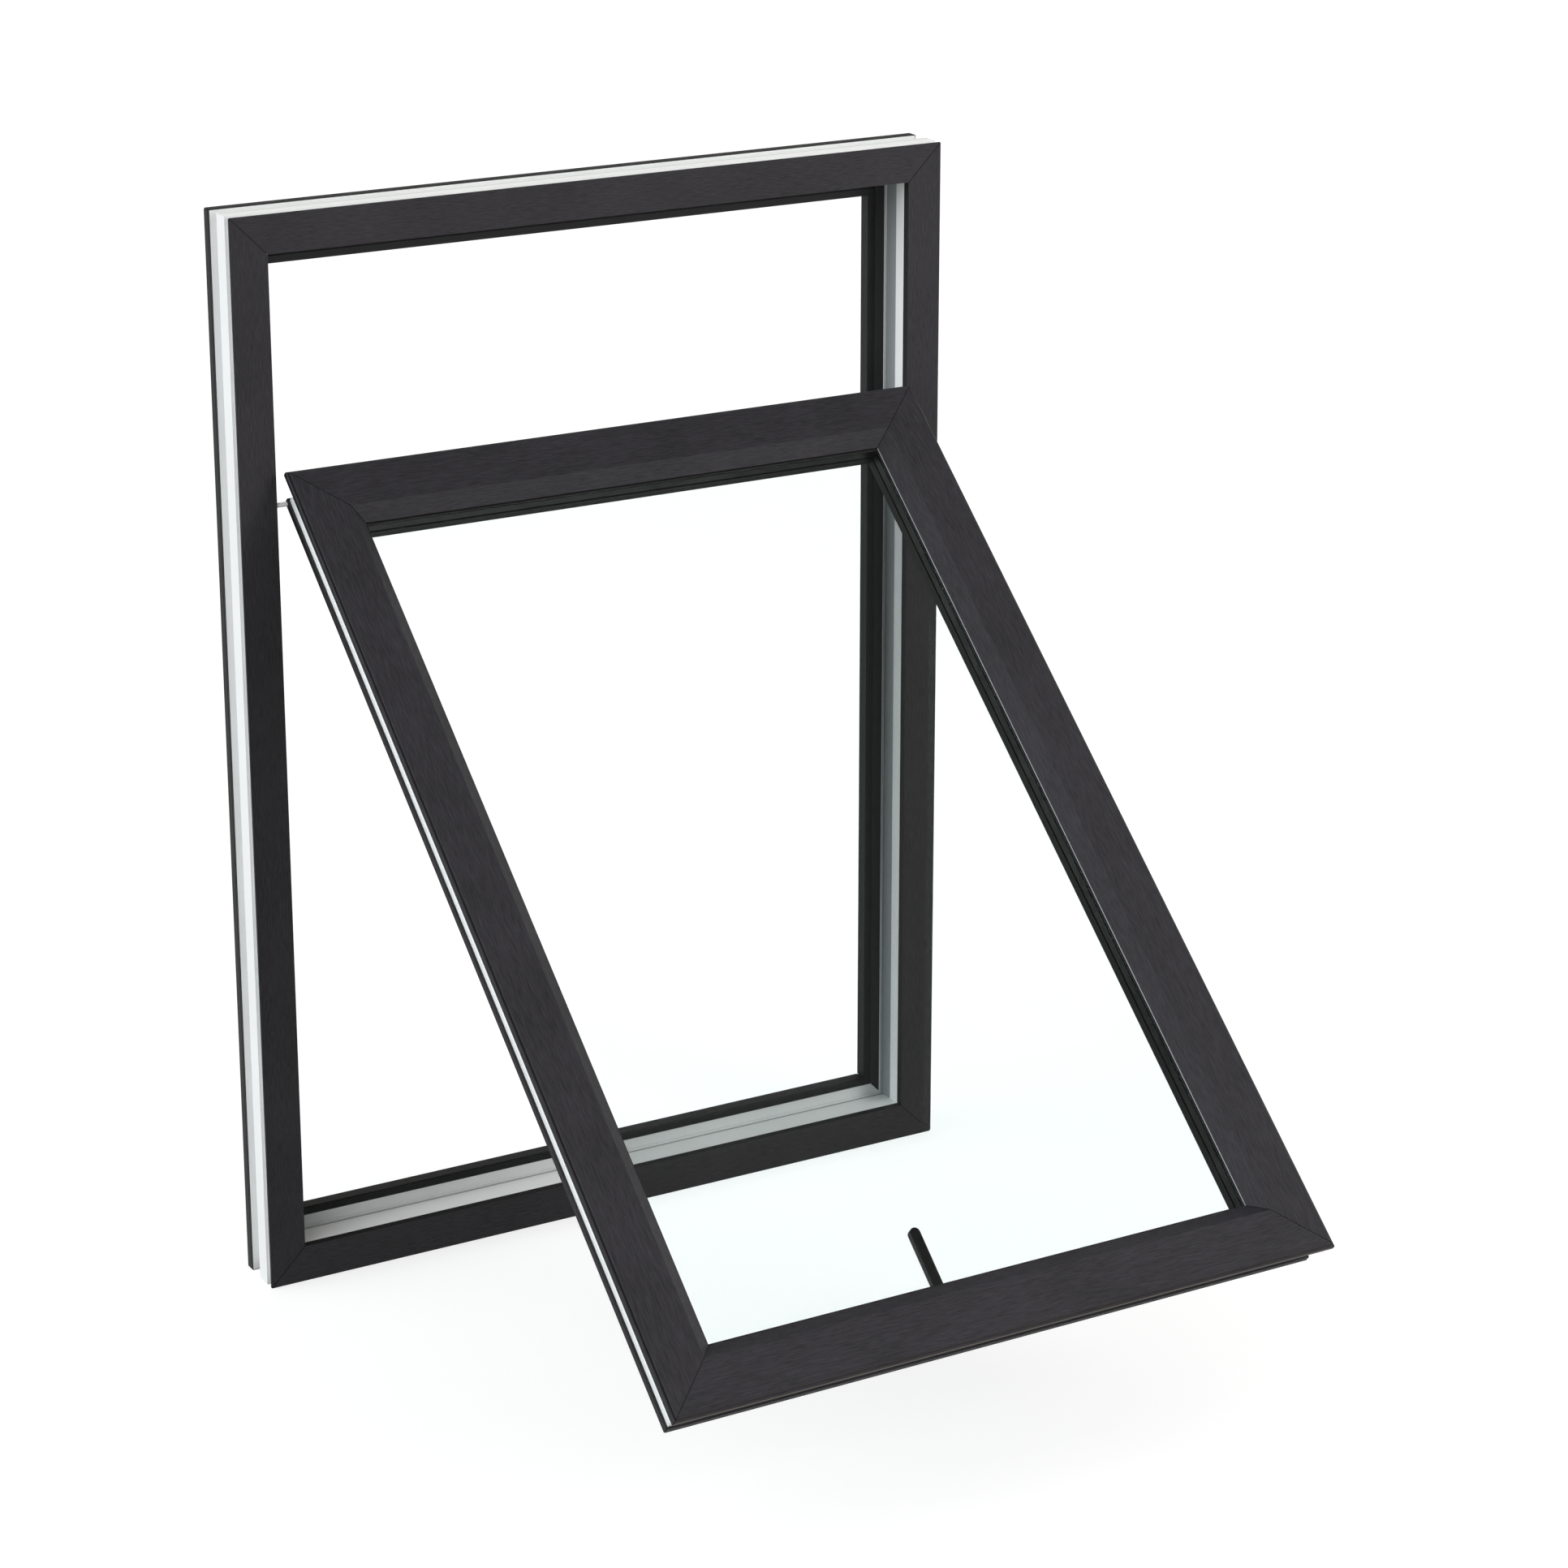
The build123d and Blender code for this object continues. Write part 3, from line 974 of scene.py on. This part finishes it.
        whole = (0.0, 1.0)
        light = step(way["Z"], self.top_span, self.sky_light, self.sky_light + self.top_light)
        left = step(way["X"], self.left_span, 0.0, self.left_light)
        high = step(way["Z"], self.low_span, self.low_share, 1.0)
        left = board.add("Math", {0: left, 1: high}, operation="MULTIPLY").outputs[0]
        light = board.add("Math", {0: light, 1: left}, operation="ADD").outputs[0]
        shade = step(self._behind_glass(board), whole, 1.0, self.glass_shade)
        light = board.add("Math", {0: light, 1: shade}, operation="MULTIPLY").outputs[0]
        gloss = step(way["Y"], self.front_span, self.front_gloss, 1.0)
        gloss = step(way["Z"], self.ceiling_span, gloss, self.ceiling_gloss)
        soft = step(board.add("LightPath").outputs["Is Singular Ray"], whole, 1.0, 0.0)
        left = step(way["Z"], self.left_gloss_rise, 0.0, self.left_gloss)
        left = step(way["X"], self.left_gloss_span, 0.0, left)
        right = step(way["X"], self.right_gloss_span, 0.0, self.right_gloss)
        for side in (left, right):
            side = board.add("Math", {0: side, 1: soft}, operation="MULTIPLY").outputs[0]
            gloss = board.add("Math", {0: gloss, 1: side}, operation="MAXIMUM").outputs[0]
        gloss = board.add(
            "Math", {0: gloss, 1: self._clear_view(board, 1.0)}, operation="MULTIPLY"
        ).outputs[0]
        strength = board.add("Mix", {"Factor": seen, "A": light, "B": gloss}).outputs["Result"]
        strength = board.add("Mix", {"Factor": straight, "A": strength, "B": 1.0}).outputs["Result"]
        tint = board.blend(step(way["X"], self.tint_span, 0.0, 1.0), self.warm, self.cool)
        tint = board.blend(straight, tint, (1.0, 1.0, 1.0))
        sky = board.add("Background", {"Color": tint, "Strength": strength})
        out = board.add("OutputWorld")
        board.tree.links.new(sky.outputs["Background"], out.inputs["Surface"])
        lamp = bpy.data.lights.new("key", "AREA")
        lamp.energy = self.key_power
        lamp.shape = "SQUARE"
        lamp.size = self.key_size
        key = bpy.data.objects.new("key", lamp)
        bpy.context.scene.collection.objects.link(key)
        key.location = self.key_place
        key.visible_transmission = False
        aim = Vector(self.key_aim) - key.location
        key.rotation_euler = aim.to_track_quat("-Z", "Y").to_euler()

    def camera(self) -> None:
        """Set the camera at the photograph's viewing angle."""
        data = bpy.data.cameras.new("camera")
        data.sensor_width = SENSOR_WIDTH
        data.lens = self.focal_pixels / PHOTO_SIDE * SENSOR_WIDTH
        data.shift_y = self.shift
        data.clip_end = 200.0
        camera = bpy.data.objects.new("camera", data)
        bpy.context.scene.collection.objects.link(camera)
        camera.location = self.camera_place
        yaw, pitch = math.radians(self.yaw), math.radians(self.pitch)
        look = Vector(
            (math.sin(yaw) * math.cos(pitch), math.cos(yaw) * math.cos(pitch), -math.sin(pitch))
        )
        camera.rotation_euler = look.to_track_quat("-Z", "Y").to_euler()
        bpy.context.scene.camera = camera

    def build(self) -> None:
        """Set up the floor, the light, the camera and the plain view transform."""
        self.floor()
        self.light()
        self.camera()
        bpy.context.scene.view_settings.view_transform = "Standard"


def sash_tilt(joints: list[dict[str, Any]]) -> float:
    """Read how far the sash is swung out at rest.

    Args:
        joints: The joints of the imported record.

    Returns:
        The angle in radians.
    """
    joint = next(j for j in joints if j["name"] == "sash_tilt")
    low, high = joint["range_deg"]
    return math.radians(high - low)


def main() -> None:
    """Load the frame, dress every piece, add the small ones and set the studio."""
    logging.basicConfig(level=logging.INFO, format="%(name)s %(message)s")
    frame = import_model()
    nodes = frame["nodes"]
    tilt = sash_tilt(frame["joints"])
    finishes = FinishSet(tilt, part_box("right_jamb")[1].x)
    for part in (OuterFrame(), Sash(), Glazing()):
        part.dress(nodes, finishes)
    handle = Handle()
    handle.dress(nodes, finishes)
    handle.fasten(finishes, tilt, nodes["handle_plate"])
    Studio().build()


if __name__ == "__main__":
    main()
